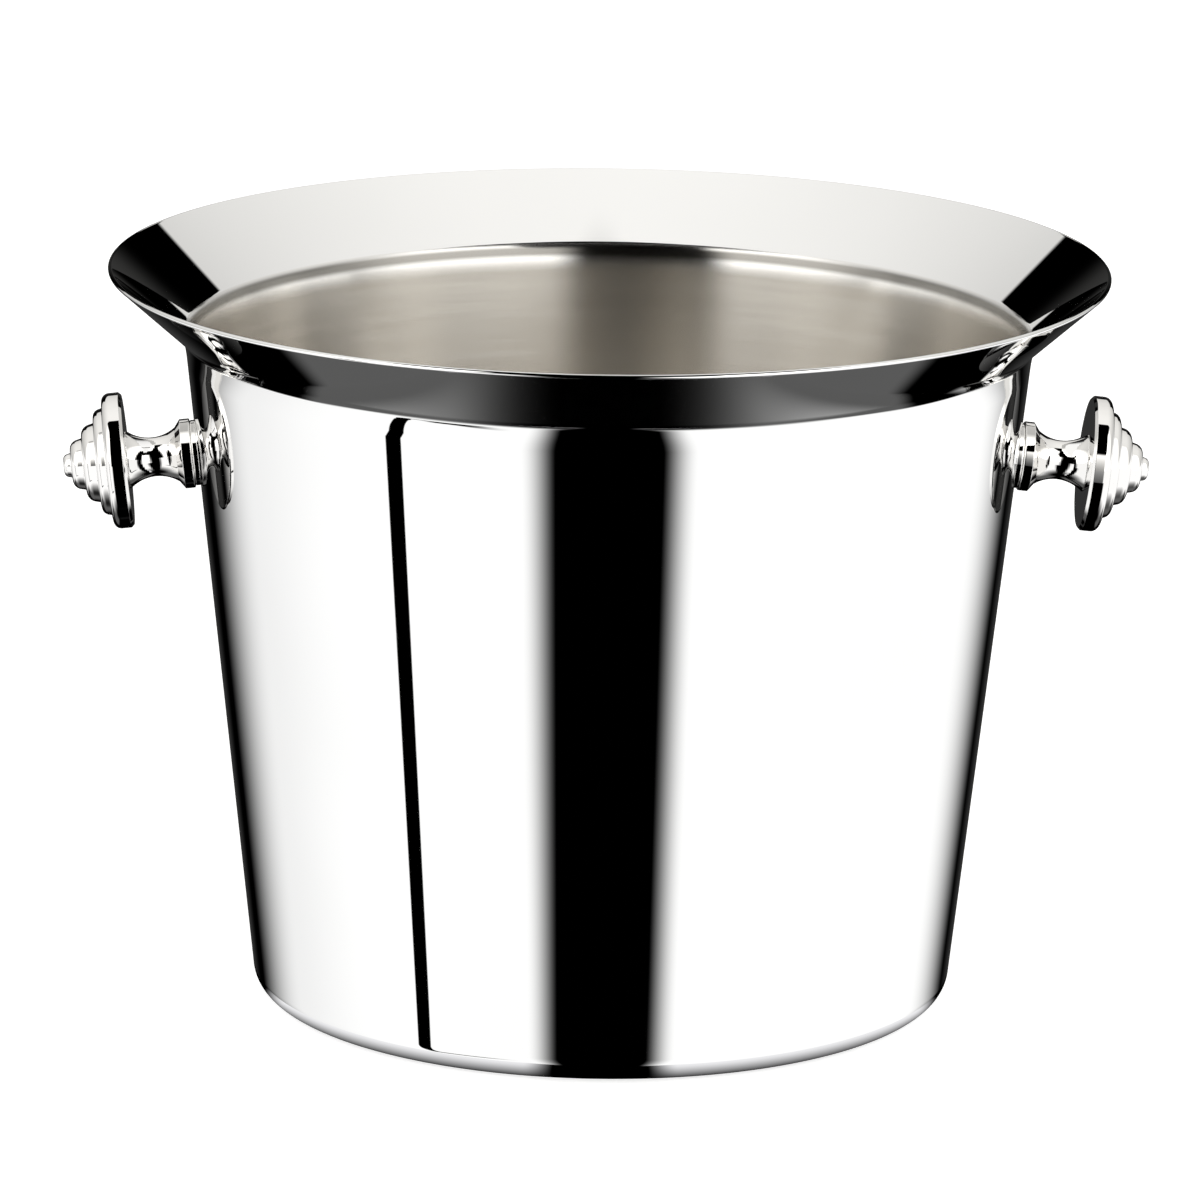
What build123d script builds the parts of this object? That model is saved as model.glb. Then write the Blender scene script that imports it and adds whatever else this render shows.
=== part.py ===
"""Champagne bucket: a drawn sheet-metal body with a flared lip and two turned side knobs.

The bucket stands on z = 0 with its axis on Z. The knobs are on +X (right) and -X (left).
Each knob is a stepped head and a waisted neck, pulled up against the wall by a screw from inside.
Lengths are in millimetres. A piece of a knob is placed along the knob's own axis, which is square to
the leaning wall: places on it are measured outwards from the outside of the wall.
"""

import os
from math import atan2, cos, radians, sin, tan

from build123d import *

os.makedirs("parts", exist_ok=True)

# Bucket body
sheet = 1.2
foot_radius = 87.4  # where the wall's outside would meet the floor without the rounded corner
neck_radius = 105.5  # outside, where the straight wall ends
neck_height = 165.6
turn_out = 9.0  # degrees that a short stretch above the wall leans out more than the wall
turn_out_length = 3.4  # along that stretch, up to the lip
rim_radius = 125.0  # to the lip's outer corner, before it is rounded
lip_flare = 48.2  # degrees from upright
foot_bend = 7.0  # bends are given as the radius on the outside of the bucket
neck_bend = 30.0
lip_bend = 2.0
lip_round = 0.5
standing_width = 11.4  # the flat ring that the bucket stands on, round a middle that is pressed up
panel_rise = 1.0
panel_slope = 3.0
panel_bend = 3.0

# Collar, between the wall and the neck
collar_radius = 8.2
collar_length = 1.2
collar_round = 0.4

# Neck: a flange, a bevel and a hollow waist
flange_radius = 8.7
flange_length = 2.5
flange_chamfer = 0.35
bevel_radius = 6.8
bevel_length = 1.4
waist_radius = 4.9
waist_place = 9.8  # from the flange's back
neck_end_radius = 7.4
neck_length = 16.25

# Head: a disc, three rings that get smaller and a button at the tip
disc_radius = 17.0
disc_length = 5.1
disc_chamfer = 0.7
disc_round = 2.0
ring_radii = (13.5, 10.0, 6.5)
ring_lengths = (2.5, 3.4, 3.15)
ring_rounds = (1.9, 2.6, 2.3)
button_radius = 3.1
button_length = 1.9
button_round = 1.3
ring_lean = 14.0  # degrees that the side of a ring or of the button leans in towards the tip

# Screw, washer and seal, inside the bucket
screw_radius = 2.5
thread_engagement = 8.9
screw_tip_chamfer = 0.6
screw_clearance = 0.25
thread_clearance = 0.03
tapping_past_screw = 2.0
screw_head_radius = 4.75
screw_head_length = 2.75
screw_head_round = 2.0
socket_width = 3.0
socket_depth = 1.6
washer_radius = 6.5
washer_length = 1.0
seal_radius = 7.5
seal_length = 1.2

# Body, worked out
wall_lean = atan2(neck_radius - foot_radius, neck_height)
turn_out_lean = wall_lean + radians(turn_out)
lip_radius = neck_radius + turn_out_length * sin(turn_out_lean)
lip_height = neck_height + turn_out_length * cos(turn_out_lean)
lip_edge_height = lip_height + (rim_radius - lip_radius) / tan(radians(lip_flare))
standing_ring_radius = foot_radius - foot_bend - standing_width
panel_radius = standing_ring_radius - panel_slope

# Knob axis, where it comes out of the wall
knob_below_neck = 27.4
knob_height = neck_height - knob_below_neck
knob_wall_radius = foot_radius + knob_height * tan(wall_lean)

# Places along the knob's axis
neck_place = collar_length
head_place = neck_place + neck_length
seal_place = -sheet - seal_length
washer_place = seal_place - washer_length

screw_length = head_place + thread_engagement - washer_place
tapping_depth = thread_engagement + tapping_past_screw
screw_hole_radius = screw_radius + screw_clearance
saddle_depth = 1.5  # spare length on a piece whose end is cut to the round wall


def knob_plane(side, place=0):
    """The plane across a knob's axis at a place on it; side is 1 for the right knob and -1 for the left."""
    on_wall = Plane(
        origin=(side * knob_wall_radius, 0, knob_height),
        x_dir=(0, side, 0),
        z_dir=(side * cos(wall_lean), 0, -sin(wall_lean)),
    )
    return on_wall.offset(place)


def turning_plane(side, place):
    """The plane of a turned piece's half outline: x is the radius and y runs outwards from a place."""
    across = knob_plane(side, place)
    return Plane(origin=across.origin, x_dir=across.x_dir, z_dir=across.x_dir.cross(across.z_dir))


def knob_axis(side):
    across = knob_plane(side)
    return Axis(across.origin, across.z_dir)


def inside_wall(inset):
    """A solid out to a given distance inside the wall's outside, from the floor line to the neck."""
    shift = inset / cos(wall_lean)
    with BuildPart() as filling:
        with BuildSketch(Plane.XZ):
            Polygon(
                (0, 0),
                (foot_radius - shift, 0),
                (neck_radius - shift, neck_height),
                (0, neck_height),
                align=None,
            )
        revolve(axis=Axis.Z)
    return filling.part


# Bucket body: one shell of even thickness, drawn from sheet and flared at the mouth
with BuildPart() as bucket_body:
    with BuildSketch(Plane.XZ):
        with BuildLine():
            outside = FilletPolyline(
                (0, panel_rise),
                (panel_radius, panel_rise),
                (standing_ring_radius, 0),
                (foot_radius, 0),
                (neck_radius, neck_height),
                (lip_radius, lip_height),
                (rim_radius, lip_edge_height),
                radius=[panel_bend, panel_bend, foot_bend, neck_bend, lip_bend],
            )
            offset(outside, amount=sheet, side=Side.LEFT)
        make_face()
        lip_corners = vertices().group_by(Axis.X)[-1] + vertices().group_by(Axis.Y)[-1]
        fillet(lip_corners, lip_round)
    revolve(axis=Axis.Z)
    for side in (1, -1):
        with BuildSketch(knob_plane(side)):
            Circle(screw_hole_radius)
        extrude(amount=2 * sheet, both=True, mode=Mode.SUBTRACT)
bucket_body.part.label = "bucket_body"
export_step(bucket_body.part, "parts/bucket_body.step")

for side, name in ((1, "right"), (-1, "left")):
    # Collar: a turned ring whose back is cut to the round wall
    with BuildPart() as knob_collar:
        with BuildSketch(knob_plane(side, -saddle_depth)):
            Circle(collar_radius)
            Circle(screw_hole_radius, mode=Mode.SUBTRACT)
        extrude(amount=saddle_depth + collar_length)
        outer_edge = edges().group_by(knob_axis(side))[-1].sort_by(SortBy.RADIUS)[-1]
        fillet(outer_edge, collar_round)
        add(inside_wall(0), mode=Mode.SUBTRACT)
    knob_collar.part.label = f"{name}_knob_collar"
    export_step(knob_collar.part, f"parts/{name}_knob_collar.step")

    # Neck: turned from bar and bored for the screw
    with BuildPart() as knob_neck:
        with BuildSketch(turning_plane(side, neck_place)):
            with BuildLine():
                Polyline(
                    (screw_hole_radius, neck_length),
                    (screw_hole_radius, 0),
                    (flange_radius - flange_chamfer, 0),
                    (flange_radius, flange_chamfer),
                    (flange_radius, flange_length),
                    (bevel_radius, flange_length + bevel_length),
                )
                ThreePointArc(
                    (bevel_radius, flange_length + bevel_length),
                    (waist_radius, waist_place),
                    (neck_end_radius, neck_length),
                )
                Line((neck_end_radius, neck_length), (screw_hole_radius, neck_length))
            make_face()
        revolve(axis=knob_axis(side))
    knob_neck.part.label = f"{name}_knob_neck"
    export_step(knob_neck.part, f"parts/{name}_knob_neck.step")

    # Head: turned from bar in steps and tapped from the back
    steps = [(disc_radius, disc_length, disc_round, 0)]
    steps += [(*sizes, ring_lean) for sizes in zip(ring_radii, ring_lengths, ring_rounds)]
    steps += [(button_radius, button_length, button_round, ring_lean)]
    with BuildPart() as knob_head:
        place = head_place
        for radius, length, rounding, lean in steps:
            with BuildSketch(knob_plane(side, place)):
                Circle(radius)
            extrude(amount=length, taper=lean)
            fillet(edges().group_by(knob_axis(side))[-1], rounding)
            place += length
        chamfer(edges().group_by(knob_axis(side))[0], disc_chamfer)
        with BuildSketch(knob_plane(side, head_place)):
            Circle(screw_radius + thread_clearance)
        extrude(amount=tapping_depth, mode=Mode.SUBTRACT)
    knob_head.part.label = f"{name}_knob_head"
    export_step(knob_head.part, f"parts/{name}_knob_head.step")

    # Seal: a soft ring pressed against the inside of the round wall
    with BuildPart() as wall_seal:
        with BuildSketch(knob_plane(side, seal_place)):
            Circle(seal_radius)
            Circle(screw_hole_radius, mode=Mode.SUBTRACT)
        extrude(amount=seal_length + saddle_depth)
        add(inside_wall(sheet), mode=Mode.INTERSECT)
    wall_seal.part.label = f"{name}_wall_seal"
    export_step(wall_seal.part, f"parts/{name}_wall_seal.step")

    # Washer: a flat ring that spreads the screw's pull over the seal
    with BuildPart() as screw_washer:
        with BuildSketch(knob_plane(side, washer_place)):
            Circle(washer_radius)
            Circle(screw_hole_radius, mode=Mode.SUBTRACT)
        extrude(amount=washer_length)
    screw_washer.part.label = f"{name}_screw_washer"
    export_step(screw_washer.part, f"parts/{name}_screw_washer.step")

    # Screw: a button head with a hexagon socket, inside the bucket
    with BuildPart() as knob_screw:
        with BuildSketch(knob_plane(side, washer_place - screw_head_length)):
            Circle(screw_head_radius)
        extrude(amount=screw_head_length)
        fillet(edges().group_by(knob_axis(side))[0], screw_head_round)
        with BuildSketch(knob_plane(side, washer_place)):
            Circle(screw_radius)
        extrude(amount=screw_length)
        chamfer(edges().group_by(knob_axis(side))[-1], screw_tip_chamfer)
        with BuildSketch(knob_plane(side, washer_place - screw_head_length)):
            RegularPolygon(socket_width / 2, 6, major_radius=False)
        extrude(amount=socket_depth, mode=Mode.SUBTRACT)
    knob_screw.part.label = f"{name}_knob_screw"
    export_step(knob_screw.part, f"parts/{name}_knob_screw.step")
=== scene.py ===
"""Looks of the champagne bucket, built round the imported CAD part. Metres, +Z up, knobs on +X and -X."""

from math import atan2, ceil, cos, degrees, pi, radians, sin, sqrt, tan

import bpy
from mathutils import Matrix, Vector


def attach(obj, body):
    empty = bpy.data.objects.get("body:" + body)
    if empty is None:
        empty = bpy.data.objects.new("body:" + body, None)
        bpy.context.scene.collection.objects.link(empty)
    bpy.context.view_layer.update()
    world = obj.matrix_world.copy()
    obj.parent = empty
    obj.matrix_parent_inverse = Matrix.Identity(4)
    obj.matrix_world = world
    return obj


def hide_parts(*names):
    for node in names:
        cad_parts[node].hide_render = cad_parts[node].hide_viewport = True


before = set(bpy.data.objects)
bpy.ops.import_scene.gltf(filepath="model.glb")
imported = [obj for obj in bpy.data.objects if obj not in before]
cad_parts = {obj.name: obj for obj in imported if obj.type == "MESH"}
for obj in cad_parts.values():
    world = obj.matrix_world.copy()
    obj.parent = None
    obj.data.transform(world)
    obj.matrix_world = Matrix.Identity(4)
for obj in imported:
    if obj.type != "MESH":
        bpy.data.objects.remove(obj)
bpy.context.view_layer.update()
scene = bpy.context.scene
mm = 0.001


# ---- Camera ----
# A long lens about two metres off and above the lip, so that the far half of the lip stands above
# the near half. The bucket is turned a little, which brings its left knob nearer than its right.
bucket_turn = radians(2.8)
camera_distance = 2.172
camera_height = 0.644
camera_aside = 0.0134
look_down = radians(14.05)
look_aside = radians(0.39)
camera_tilt = radians(0.74)
film_width = 36  # in millimetres, like the lens
lens_length = 267.3

camera = bpy.data.objects.new("studio_camera", bpy.data.cameras.new("studio_camera"))
camera.data.sensor_width = film_width
camera.data.lens = lens_length
standpoint = Matrix.Rotation(-bucket_turn, 3, "Z") @ Vector((camera_aside, -camera_distance, camera_height))
facing = Matrix.Rotation(look_aside - bucket_turn, 4, "Z") @ Matrix.Rotation(pi / 2 - look_down, 4, "X")
camera.matrix_world = Matrix.Translation(standpoint) @ facing @ Matrix.Rotation(camera_tilt, 4, "Z")
scene.collection.objects.link(camera)
scene.camera = camera


# ---- Bucket body ----
# One shell drawn from sheet metal: standing ring, raised middle, straight leaning wall, flared lip.
# The outside and the lip are buffed to a mirror. The inside is brushed round and round up to the
# crease under the lip.
sheet = 1.2 * mm
foot_radius = 87.4 * mm
neck_radius = 105.5 * mm
neck_height = 165.6 * mm
turn_out = radians(9)
turn_out_length = 3.4 * mm
lip_flare = radians(48.2)
rim_radius = 125.0 * mm
foot_bend = 7.0 * mm
neck_bend = 30.0 * mm
lip_bend = 2.0 * mm
lip_round = 0.5 * mm
standing_width = 11.4 * mm
panel_rise = 1.0 * mm
panel_slope = 3.0 * mm
panel_bend = 3.0 * mm
screw_hole_radius = 2.75 * mm
knob_below_neck = 27.4 * mm
wall_lean = atan2(neck_radius - foot_radius, neck_height)
knob_height = neck_height - knob_below_neck
knob_wall_radius = foot_radius + knob_height * tan(wall_lean)
arc_step = radians(5)
same_place = 0.001 * mm


def rounded(corners, row=8 * mm, flat=0.25 * mm):
    """The outline through corners of (radius, height, bend). Each bend is an arc, and a short flat beside
    it keeps the long straight stretches true when the mesh is smoothed."""
    arcs = []
    for before, corner, after in zip(corners, corners[1:], corners[2:]):
        here = Vector(corner[:2])
        back = (Vector(before[:2]) - here).normalized()
        on = (Vector(after[:2]) - here).normalized()
        half = back.angle(on) / 2
        middle = here + (back + on).normalized() * (corner[2] / sin(half))
        start = here + back * (corner[2] / tan(half)) - middle
        end = here + on * (corner[2] / tan(half)) - middle
        if corner[2] == 0:
            arcs.append([here])
            continue
        turn = start.angle_signed(end)
        steps = max(4, ceil(abs(turn) / arc_step))
        arcs.append([middle + Matrix.Rotation(-turn * i / steps, 2) @ start for i in range(steps + 1)])
    runs = [[Vector(corners[0][:2])], *arcs, [Vector(corners[-1][:2])]]
    points = list(runs[0])
    for before, after in zip(runs, runs[1:]):
        way = after[0] - before[-1]
        if way.length < same_place:
            points += after[1:]
            continue
        margin = min(flat, way.length / 4)
        rows = max(1, ceil((way.length - 2 * margin) / row))
        for i in range(rows + 1):
            points.append(before[-1] + way.normalized() * (margin + (way.length - 2 * margin) * i / rows))
        points += after
    return [tuple(point) for point in points]


def beside(corners, distance):
    """A second outline a distance to the left of the first, with its bends round the same centres."""
    ways = [(Vector(b[:2]) - Vector(a[:2])).normalized() for a, b in zip(corners, corners[1:])]
    ways = [ways[0], *ways, ways[-1]]
    moved = []
    for (radius, height, bend), way_in, way_out in zip(corners, ways, ways[1:]):
        left = (way_in + way_out).normalized().orthogonal()
        spread = distance / left.dot(way_in.orthogonal())
        turn = way_in.cross(way_out)
        new_bend = bend - distance if turn > 0 else bend + distance
        moved.append((radius + left.x * spread, height + left.y * spread, new_bend if bend else 0))
    return moved


def turned(name, outline, around, finishes=(0,), closed=False):
    """A mesh turned round Z from an outline of (radius, height), with a number of points around.
    finishes gives each stretch of the outline the place of its material."""
    points = []
    rings = []
    for radius, height in outline:
        count = around if radius > same_place else 1
        rings.append(range(len(points), len(points) + count))
        for k in range(count):
            angle = 2 * pi * k / around
            points.append((radius * cos(angle), radius * sin(angle), height))
    if closed:
        rings.append(rings[0])
    faces = []
    slots = []
    for i, (low, high) in enumerate(zip(rings, rings[1:])):
        for k in range(around):
            after = (k + 1) % around
            loop = (low[k % len(low)], low[after % len(low)], high[after % len(high)], high[k % len(high)])
            faces.append(list(dict.fromkeys(loop)))
            slots.append(finishes[min(i, len(finishes) - 1)])
    mesh = bpy.data.meshes.new(name)
    mesh.from_pydata(points, [], faces)
    mesh.polygons.foreach_set("use_smooth", [True] * len(faces))
    mesh.polygons.foreach_set("material_index", slots)
    mesh.update()
    made = bpy.data.objects.new(name, mesh)
    scene.collection.objects.link(made)
    return made


class Socket:
    """One output in a node tree, so that shader maths can be written as Python expressions."""

    def __init__(self, tree, output):
        self.tree = tree
        self.output = output

    def node(self, kind, settings, inputs, output=0):
        """Any other node, from its type, its settings and the values or links of its inputs."""
        made = self.tree.nodes.new(kind)
        for key, value in settings.items():
            setattr(made, key, value)
        for key, value in inputs.items():
            if isinstance(value, Socket):
                self.tree.links.new(value.output, made.inputs[key])
            else:
                made.inputs[key].default_value = value
        return Socket(self.tree, made.outputs[output])

    def maths(self, operation, *others):
        """A Math node that starts from this value."""
        return self.node("ShaderNodeMath", {"operation": operation}, dict(enumerate((self, *others))))

    def __add__(self, other):
        return self.maths("ADD", other)

    def __sub__(self, other):
        return self.maths("SUBTRACT", other)

    def __rsub__(self, other):
        return self.node("ShaderNodeMath", {"operation": "SUBTRACT"}, {0: other, 1: self})

    def __mul__(self, other):
        return self.maths("MULTIPLY", other)

    def __abs__(self):
        return self.maths("ABSOLUTE")

    __radd__ = __add__
    __rmul__ = __mul__

    def rise(self, low, high):
        """0 below low, 1 above high and smooth between. Falls from 1 to 0 instead if low is the larger."""
        settings = {"interpolation_type": "SMOOTHSTEP"}
        inputs = {0: self, 1: min(low, high), 2: max(low, high), 3: float(low > high), 4: float(low < high)}
        return self.node("ShaderNodeMapRange", settings, inputs)

    def colours(self, first, second):
        """A colour between two others, by this value. Each is three numbers, or a colour that varies."""
        ends = [end if isinstance(end, Socket) else (*end, 1) for end in (first, second)]
        return self.node("ShaderNodeMix", {"data_type": "RGBA"}, {0: self, 6: ends[0], 7: ends[1]}, 2)

    def split(self):
        """The x, y and z of a place or a direction."""
        return [self.node("ShaderNodeSeparateXYZ", {}, {0: self}, i) for i in range(3)]

    def noise(self, scale, detail=2.0, roughness=0.5):
        inputs = {"Vector": self, "Scale": scale, "Detail": detail, "Roughness": roughness}
        return self.node("ShaderNodeTexNoise", {}, inputs)

    def streaks(self, along=0.0, **look):
        """Noise drawn out into lines. This value counts the lines, and along runs the way they lie."""
        return self.node("ShaderNodeCombineXYZ", {}, {0: self, 1: along}).noise(1.0, **look)

    def bump(self, distance, strength):
        """A normal for a surface that this value raises and lowers."""
        return self.node("ShaderNodeBump", {}, {"Strength": strength, "Distance": distance, "Height": self})


def finish_of(name, **constants):
    """A new finish: its material, its shader and the place on the piece that its detail follows."""
    made = bpy.data.materials.new(name)
    made.use_nodes = True
    shader = made.node_tree.nodes["Principled BSDF"]
    for key, value in constants.items():
        shader.inputs[key.replace("_", " ")].default_value = value
    place = Socket(made.node_tree, made.node_tree.nodes.new("ShaderNodeTexCoord").outputs["Object"])
    return made, shader, place


def feed(shader, **links):
    """Link what varies to the shader's inputs, with _ for a space in an input's name."""
    for key, value in links.items():
        value.tree.links.new(value.output, shader.inputs[key.replace("_", " ")])


def mirror_silver(name):
    """Buffed silver: all but smooth, dulled a little here and there by wiping."""
    made, shader, place = finish_of(name, Metallic=1.0)
    polish = 0.012
    wiped = place.noise(38.0, detail=5.0, roughness=0.6).rise(0.52, 0.8)
    grain = place.noise(900.0, detail=3.0)
    tone = place.noise(14.0).rise(0.3, 0.7)
    feed(
        shader,
        Roughness=wiped * 0.018 + grain * 0.006 + polish,
        Base_Color=tone.colours((0.93, 0.93, 0.925), (0.95, 0.95, 0.945)),
    )
    return made


def brushed_inside(name):
    """Silver brushed round the bucket: fine lines along the wall and in circles on the floor. The brushing
    runs out under the lip into a smoother buffed band whose lighter colour is a painted highlight, and a
    painted dark line, a painted reflection, lies along the crease that it ends at."""
    made, shader, place = finish_of(name, Metallic=1.0, Anisotropic=0.92, Anisotropic_Rotation=0.25)
    x, y, z = place.split()
    brushed_roughness = 0.22
    buffed_roughness = 0.18
    above_lip_bend = z - lip_height
    # buffed smooths the roughness for real, but the lighter colour it brings in is a painted highlight
    buffed = above_lip_bend.rise(-6.5 * mm, -2.0 * mm)
    # where the painted dark line, a painted reflection, is laid along the crease
    crease = above_lip_bend.rise(-2.8 * mm, -1.2 * mm) * above_lip_bend.rise(1.0 * mm, -0.2 * mm)
    across = z - (x * x + y * y).maths("SQRT")
    around = y.maths("ARCTAN2", x)
    fine = (across * 2600.0).streaks(around * 3.0, detail=4.0, roughness=0.7)
    broad = (across * 260.0).streaks(around * 1.5)
    tone = fine * 0.4 + broad * 0.6
    satin = tone.rise(0.25, 0.75).colours((0.68, 0.65, 0.60), (0.76, 0.73, 0.68))
    # painted highlight for the band under the lip, darkened to a painted dark line at the crease
    painted_highlight_and_crease_line = crease.colours((0.88, 0.87, 0.85), (0.30, 0.29, 0.27))
    feed(
        shader,
        Roughness=(tone * 0.06 + brushed_roughness) * (1.0 - buffed) + buffed * buffed_roughness,
        Base_Color=buffed.colours(satin, painted_highlight_and_crease_line),
        Normal=fine.bump(0.02 * mm, 0.08),
    )
    return made


turn_out_lean = wall_lean + turn_out
lip_radius = neck_radius + turn_out_length * sin(turn_out_lean)
lip_height = neck_height + turn_out_length * cos(turn_out_lean)
lip_edge_height = lip_height + (rim_radius - lip_radius) / tan(lip_flare)
standing_radius = foot_radius - foot_bend - standing_width
outside = [
    (0, panel_rise, 0),
    (standing_radius - panel_slope, panel_rise, panel_bend),
    (standing_radius, 0, panel_bend),
    (foot_radius, 0, foot_bend),
    (neck_radius, neck_height, neck_bend),
    (lip_radius, lip_height, lip_bend),
    (rim_radius, lip_edge_height, 0),
]
inside = beside(outside, sheet)
lip_corners = [(*outside[-1][:2], lip_round), (*inside[-1][:2], lip_round)]
body_outline = rounded(outside[:-1] + lip_corners + inside[-2::-1])
edge = max(range(len(body_outline)), key=lambda i: body_outline[i][0])
brushed_below = lip_height + 1.2 * mm
sharp_edge = radians(40)
finishes = [int(i > edge and height < brushed_below) for i, (_, height) in enumerate(body_outline)]
bucket = turned("bucket", body_outline, around=320, finishes=finishes)
bucket.data.materials.append(mirror_silver("mirror_silver"))
bucket.data.materials.append(brushed_inside("brushed_inside"))


def knob_place(side, along=0.0):
    """A knob's own frame on the wall, its z out along the axis; side is 1 for right and -1 for left."""
    out = Vector((side * cos(wall_lean), 0, -sin(wall_lean)))
    across = Vector((0, side, 0))
    turn = Matrix((across, out.cross(across), out)).transposed().to_4x4()
    return Matrix.Translation(Vector((side * knob_wall_radius, 0, knob_height)) + out * along) @ turn


drill_reach = 4 * mm
drill_side = [(screw_hole_radius, -drill_reach), (screw_hole_radius, drill_reach)]
drill_outline = [(0, -drill_reach), *drill_side, (0, drill_reach)]
for side in (1, -1):
    drill = turned("drill", drill_outline, around=64)
    drill.matrix_world = knob_place(side)
    cut = bucket.modifiers.new("screw_hole", "BOOLEAN")
    cut.operation = "DIFFERENCE"
    cut.object = drill
    bpy.context.view_layer.update()
    drilled = bucket.evaluated_get(bpy.context.evaluated_depsgraph_get())
    bucket.data = bpy.data.meshes.new_from_object(drilled)
    bucket.modifiers.clear()
    bpy.data.objects.remove(drill)
bucket.data.set_sharp_from_angle(angle=sharp_edge)
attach(bucket, "root")
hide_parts("bucket_body")


# ---- Knob collars ----
# A turned ring between the wall and each knob, its back cut to the round wall.
collar_radius = 8.2 * mm
collar_length = 1.2 * mm
collar_round = 0.4 * mm
corner_round = 0.1 * mm  # on a corner that is sharp to the touch


def turned_silver(name):
    """Buffed silver with the faint rings that the lathe left, dulled in patches by handling."""
    made, shader, place = finish_of(name, Metallic=1.0)
    polish = 0.012
    along_axis = place.split()[2]
    rings = (along_axis * 5000.0).streaks()
    wiped = place.noise(160.0, detail=4.0, roughness=0.6).rise(0.5, 0.8)
    feed(
        shader,
        Roughness=wiped * 0.02 + rings * 0.012 + polish,
        Base_Color=wiped.colours((0.94, 0.93, 0.915), (0.91, 0.90, 0.88)),
        Normal=rings.bump(0.001 * mm, 0.3),
    )
    return made


turned_finish = turned_silver("turned_silver")
names = {1: "right", -1: "left"}


def ring(corners):
    """The closed outline of a bored piece, which starts and ends halfway along the bore."""
    start = (corners[0][0], (corners[0][1] + corners[-1][1]) / 2, 0)
    return rounded([start, *corners, start])[:-1]


for side, name in names.items():
    corners = [
        (screw_hole_radius, 0, corner_round),
        (collar_radius, 0, corner_round),
        (collar_radius, collar_length, collar_round),
        (screw_hole_radius, collar_length, corner_round),
    ]
    collar = turned(f"{name}_collar", ring(corners), around=128, closed=True)
    for vertex in collar.data.vertices:
        gap = knob_wall_radius - sqrt(knob_wall_radius**2 - vertex.co.x**2)
        vertex.co.z -= gap * (1 - vertex.co.z / collar_length)
    collar.data.materials.append(turned_finish)
    collar.matrix_world = knob_place(side)
    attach(collar, "root")
    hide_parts(f"{name}_knob_collar")


# ---- Knob necks ----
# Turned from bar: a flange against the collar, a bevel and a hollow waist that widens to the head.
flange_radius = 8.7 * mm
flange_length = 2.5 * mm
flange_round = 0.35 * mm
bevel_round = 0.2 * mm
bevel_radius = 6.8 * mm
bevel_length = 1.4 * mm
waist_radius = 4.9 * mm
waist_place = 9.8 * mm
neck_end_radius = 7.4 * mm
neck_length = 16.25 * mm
waist_steps = 28


def arc_through(first, middle, last, steps):
    """Points along the circle through three points, without the two ends."""
    a, b, c = Vector(first), Vector(middle), Vector(last)
    ab = b - a
    ac = c - a
    twice = 2 * ab.cross(ac)
    towards_centre = (ac.y * ab.dot(ab) - ab.y * ac.dot(ac), ab.x * ac.dot(ac) - ac.x * ab.dot(ab))
    centre = a + Vector(towards_centre) / twice
    turn = (a - centre).angle_signed(c - centre)
    return [centre + Matrix.Rotation(-turn * i / steps, 2) @ (a - centre) for i in range(1, steps)]


for side, name in names.items():
    bevel_end = (bevel_radius, flange_length + bevel_length)
    waist = arc_through(bevel_end, (waist_radius, waist_place), (neck_end_radius, neck_length), waist_steps)
    corners = [
        (screw_hole_radius, 0, corner_round),
        (flange_radius, 0, flange_round),
        (flange_radius, flange_length, bevel_round),
        (*bevel_end, bevel_round),
        *[(*point, 0) for point in waist],
        (neck_end_radius, neck_length, corner_round),
        (screw_hole_radius, neck_length, corner_round),
    ]
    neck = turned(f"{name}_neck", ring(corners), around=160, closed=True)
    neck.data.materials.append(turned_finish)
    neck.matrix_world = knob_place(side, collar_length)
    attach(neck, "root")
    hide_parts(f"{name}_knob_neck")


# ---- Knob heads ----
# Turned from bar in steps that get smaller towards the tip, tapped from the back for the screw.
disc_radius = 17.0 * mm
disc_length = 5.1 * mm
disc_chamfer = 0.7 * mm
disc_chamfer_round = 0.15 * mm
disc_round = 2.0 * mm
# The radius, the length and the rounded edge of each ring in millimetres, and last those of the button
step_sizes = [(13.5, 2.5, 1.9), (10.0, 3.4, 2.6), (6.5, 3.15, 2.3), (3.1, 1.9, 1.3)]
ring_lean = radians(14)
root_round = 0.2 * mm
thread_radius = 2.53 * mm
tapping_depth = 10.9 * mm
head_place = collar_length + neck_length

for side, name in names.items():
    corners = [
        (0, tapping_depth, 0),
        (thread_radius, tapping_depth, corner_round),
        (thread_radius, 0, corner_round),
        (disc_radius - disc_chamfer, 0, disc_chamfer_round),
        (disc_radius, disc_chamfer, disc_chamfer_round),
        (disc_radius, disc_length, disc_round),
    ]
    top = disc_length
    for radius, length, rounding in step_sizes:
        corners.append((radius * mm, top, root_round))
        top += length * mm
        corners.append(((radius - length * tan(ring_lean)) * mm, top, rounding * mm))
    corners.append((0, top, 0))
    head = turned(f"{name}_head", rounded(corners, row=1 * mm, flat=0.08 * mm), around=224)
    head.data.materials.append(turned_finish)
    head.matrix_world = knob_place(side, head_place)
    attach(head, "root")
    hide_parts(f"{name}_knob_head")


# ---- Screws, washers and seals ----
# Inside the bucket, a button-head steel screw draws each knob up through a flat washer and a soft
# silicone seal. The CAD pieces are shown as they are, with these finishes.


def plain_steel(name):
    """Bare turned stainless steel, duller and greyer than the silver."""
    made, shader, place = finish_of(name, Metallic=1.0)
    marks = place.noise(1500.0, detail=3.0, roughness=0.6)
    feed(
        shader,
        Roughness=marks * 0.15 + 0.2,
        Base_Color=marks.colours((0.50, 0.49, 0.48), (0.64, 0.63, 0.61)),
    )
    return made


def silicone(name):
    """Cloudy grey silicone with a fine moulded skin."""
    made, shader, place = finish_of(name, Metallic=0.0, Specular_IOR_Level=0.4)
    skin = place.noise(2200.0, detail=3.0)
    cloud = place.noise(300.0)
    feed(
        shader,
        Roughness=skin * 0.2 + 0.45,
        Base_Color=cloud.colours((0.42, 0.42, 0.41), (0.52, 0.52, 0.50)),
        Normal=skin.bump(0.01 * mm, 0.3),
    )
    return made


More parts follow.
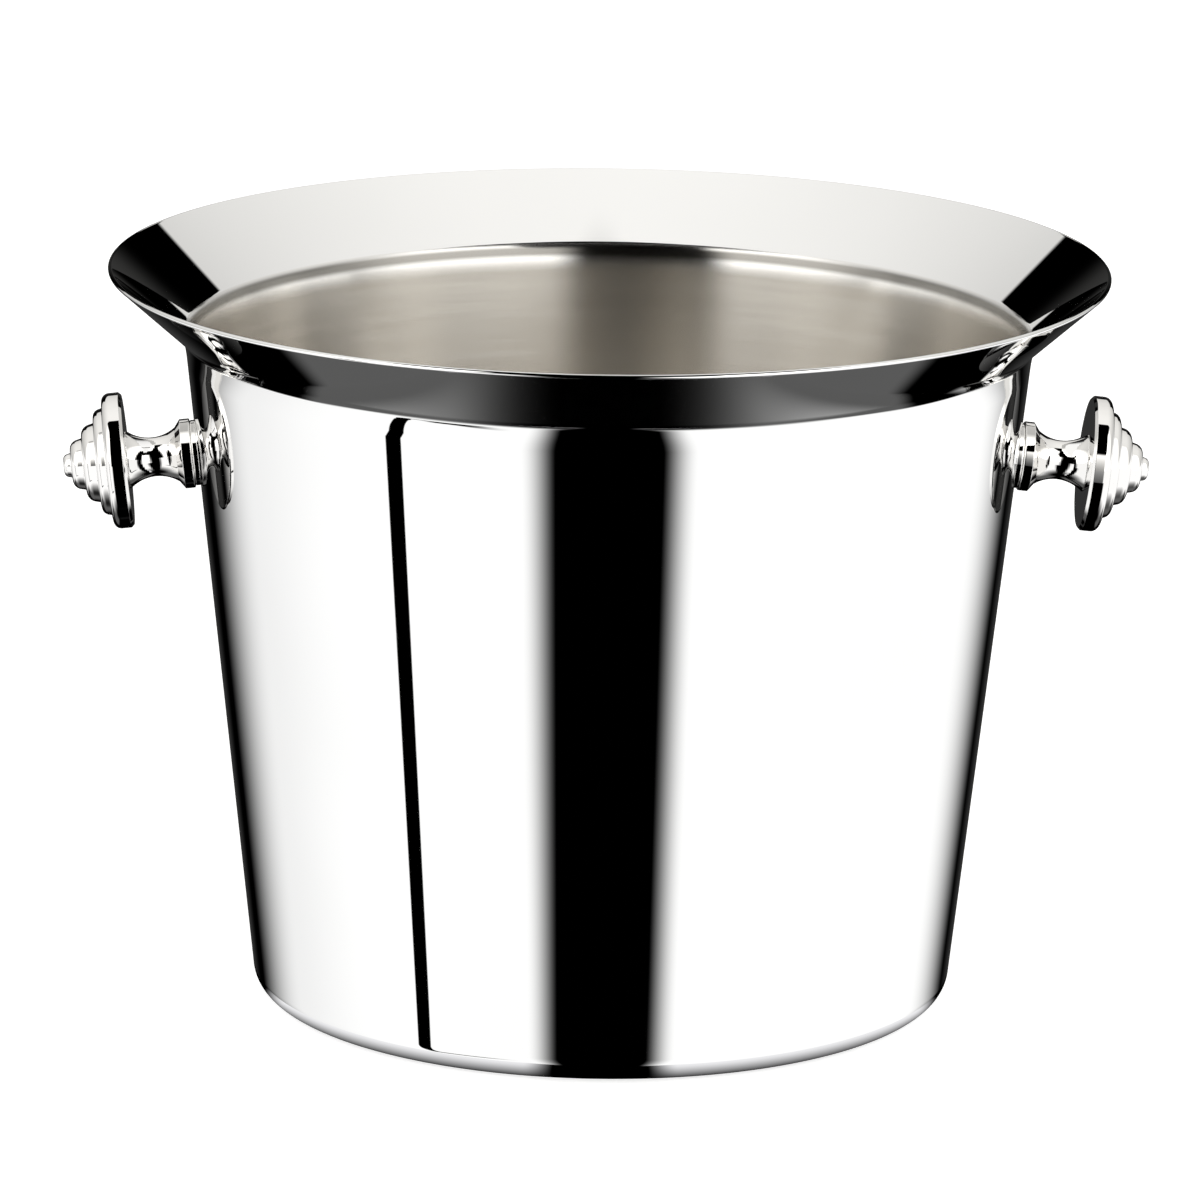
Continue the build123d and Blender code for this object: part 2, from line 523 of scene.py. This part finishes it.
steel = plain_steel("plain_steel")
rubber = silicone("grey_silicone")
for name in names.values():
    for node, finish in (("knob_screw", steel), ("screw_washer", steel), ("wall_seal", rubber)):
        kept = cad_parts[f"{name}_{node}"]
        kept.data.materials.clear()
        kept.data.materials.append(finish)


# ---- Studio ----
# A white floor and backdrop. What the polished metal reflects is a ring of white cards that stands
# well off all round: black gaps between them make the dark bands on the wall and the lip.
floor_size = 13.0
floor_below = 0.04 * mm  # keeps the floor clear of the face that the bucket stands on
floor_glow = 0.78
floor_shade = 0.6
backdrop_size = 14.0
backdrop_glow = 1.1
backdrop_from = -30  # degrees above the horizon
backdrop_step = 5


def lit_white(name, glow, shade):
    """Matt white that shines evenly by itself and takes only as much shadow as its shade lets it."""
    white = (1, 1, 1, 1)
    made, shader, place = finish_of(name, Roughness=0.9, Emission_Color=white, Emission_Strength=glow)
    feed(shader, Base_Color=place.noise(3.0).colours([shade] * 3, [shade * 0.98] * 3))
    return made


def unseen_by(thing, *rays):
    """Keep a thing out of the camera's view, reflections, light or shadows."""
    for ray in rays:
        setattr(thing, f"visible_{ray}", False)


floor = turned("floor", [(0, -floor_below), (floor_size, -floor_below)], around=64)
floor.data.materials.append(lit_white("floor_white", floor_glow, floor_shade))
unseen_by(floor, "glossy")

rises = [radians(a) for a in range(backdrop_from, 90, backdrop_step)]
sky_outline = [(backdrop_size * cos(a), backdrop_size * sin(a)) for a in rises]
backdrop = turned("backdrop", [*sky_outline, (0, backdrop_size)], around=64)
backdrop.data.materials.append(lit_white("backdrop_white", backdrop_glow, 0.0))
unseen_by(backdrop, "glossy", "diffuse", "transmission", "shadow")


# ---- Paper round the foot ----
# A narrow ring of white paper on the floor that glows by itself, which shows only as the thin bright line
# low on the foot's bend. Its glow is painted light: brighter outwards, with a painted shadow darker towards
# the foot, and only on both sides of the black gap in front, nowhere else.
paper_inner = 82.0 * mm
paper_outer = 92.0 * mm
paper_turn = 2.3  # degrees


def bearing_of(x, y, turn):
    """Degrees round the bucket from the front, positive to the right, for a place or a direction."""
    return x.maths("ARCTAN2", 0.0 - y) * (180 / pi) + turn


def paper_painted_glow(name):
    """White paper that glows with painted light in two stretches and is dark elsewhere, fading towards the
    foot as a painted shadow.
    """
    constants = {"Base_Color": (0, 0, 0, 1), "Specular_IOR_Level": 0.0, "Emission_Strength": 1.0}
    made, shader, place = finish_of(name, **constants)
    x, y = place.split()[:2]
    # painted shadow: the glow fades towards the foot, where the bucket would shade the floor
    outwards = (x * x + y * y).maths("SQRT").rise(paper_inner, paper_outer)
    off_front = abs(bearing_of(x, y, paper_turn))
    # painted light: the ring glows only in the two stretches beside the front gap
    painted_light = outwards * off_front.rise(8.0, 13.5) * off_front.rise(82.0, 70.0)
    feed(shader, Emission_Color=painted_light.colours((0, 0, 0), (0.9, 0.9, 0.92)))
    return made


paper = turned("paper_ring", [(paper_inner, 0), (paper_outer, 0)], around=128)
paper.data.materials.append(paper_painted_glow("paper_painted_glow"))
unseen_by(paper, "camera", "diffuse", "transmission", "shadow")


# ---- Card ring ----
# White cards, a table under them and the ceiling over them, all too far off to change with the place
# on the bucket. So they are set out by direction: z is its height, from -1 straight down to 1 straight
# up, and bearing is in degrees from the front, positive to the right.
world = bpy.data.worlds.new("card_ring")
world.use_nodes = True
scene.world = world
sky = world.node_tree
x, y, z = Socket(sky, sky.nodes.new("ShaderNodeTexCoord").outputs["Generated"]).split()
bearing = bearing_of(x, y, degrees(bucket_turn))
off_front = abs(bearing)

# The gap in front, where the camera stands. Above the card line it is narrower on its right.
gap_middle = 1.0
gap_narrower = 5.0
card_line = z.rise(-0.36, -0.33)
front_gap = abs(bearing - gap_middle + card_line * gap_narrower) + card_line * gap_narrower
front_open = front_gap.rise(15.0, 25.5)

# The cards' far edges, which leave the gap behind the bucket and are further round to the front low down
edge_lean = 32.0
low = z.rise(-0.55, -0.68)
right_end = (bearing + low * edge_lean).rise(158.0, 126.0)
left_end = (bearing - low * edge_lean).rise(-153.0, -119.0)
left_shade = 1.0 - bearing.rise(-80.0, -125.0) * 0.14
side_cards = right_end * left_end * left_shade * z.rise(-0.975, -0.69)

# Two cards meet on the left of the gap, and the strip between them is the thin leaning line. Its foot
# turns a rounded corner and runs on along the bottom of the front card.
edge_bearing = -52.4
edge_slant = 20.0
edge_straight_above = -0.46
card_bottom = -0.65
bottom_scale = 32.0
across_edge = bearing - edge_bearing - z.maths("MINIMUM", edge_straight_above) * edge_slant
above_edge = (z - card_bottom) * bottom_scale


def inside_corner(start, base, rounding):
    """1 to the right of the slanting edge and above the bottom edge, with the corner rounded."""
    aside = (rounding + start - across_edge).maths("MAXIMUM", 0.0)
    below = (rounding + base - above_edge).maths("MAXIMUM", 0.0)
    return (aside * aside + below * below).maths("SQRT").rise(rounding + 0.3, rounding)


outer_corner = inside_corner(-2.5, -0.45, 4.0)
inner_corner = inside_corner(2.4, 0.45, 2.2)
edge_strip = outer_corner * (1.0 - inner_corner) * bearing.rise(-28.0, -45.0)
card_light = 1.08
cards = side_cards * front_open * (1.0 - edge_strip)

# The dim table under the cards
table_light = 0.105
table = z.rise(-0.70, -0.745) * z.rise(-0.988, -0.92) * table_light
table = table * off_front.rise(15.0, 45.0) * off_front.rise(172.0, 158.0)

# Above the horizon: the ceiling over the back half, with a gap low behind, and card tops in front
overhead = (z * 0.1 + y).rise(-0.01, 0.01)
back_top = (z - (180.0 - off_front) * 0.005).rise(0.33, 0.31)
back_gap = 1.0 - off_front.rise(148.0, 149.0) * back_top
roof = overhead * back_gap * (z * 0.49 + 0.5)
card_tops = (z - off_front.rise(18.0, 40.0) * 0.38).rise(0.49, 0.42)
upper_open = abs(bearing + 9.5).rise(16.5, 27.0)
upper_light = 1.9 - off_front.rise(55.0, 95.0) * 1.3
front_upper = (1.0 - overhead) * card_tops * upper_open * right_end * left_end * upper_light

# The far wall of the room, which shows faintly in the gap behind
behind_light = 0.035
behind = off_front.rise(156.0, 172.0) * z.rise(0.28, 0.1) * z.rise(-0.5, -0.3) * behind_light

above = z.rise(-0.005, 0.005)
brightness = (cards * card_light + table) * (1.0 - above) + (roof + front_upper) * above + behind
tint = above.colours((1.0, 1.0, 1.0), (1.0, 0.99, 0.965))
feed(sky.nodes["Background"], Color=tint, Strength=brightness)
scene.view_settings.view_transform = "Standard"
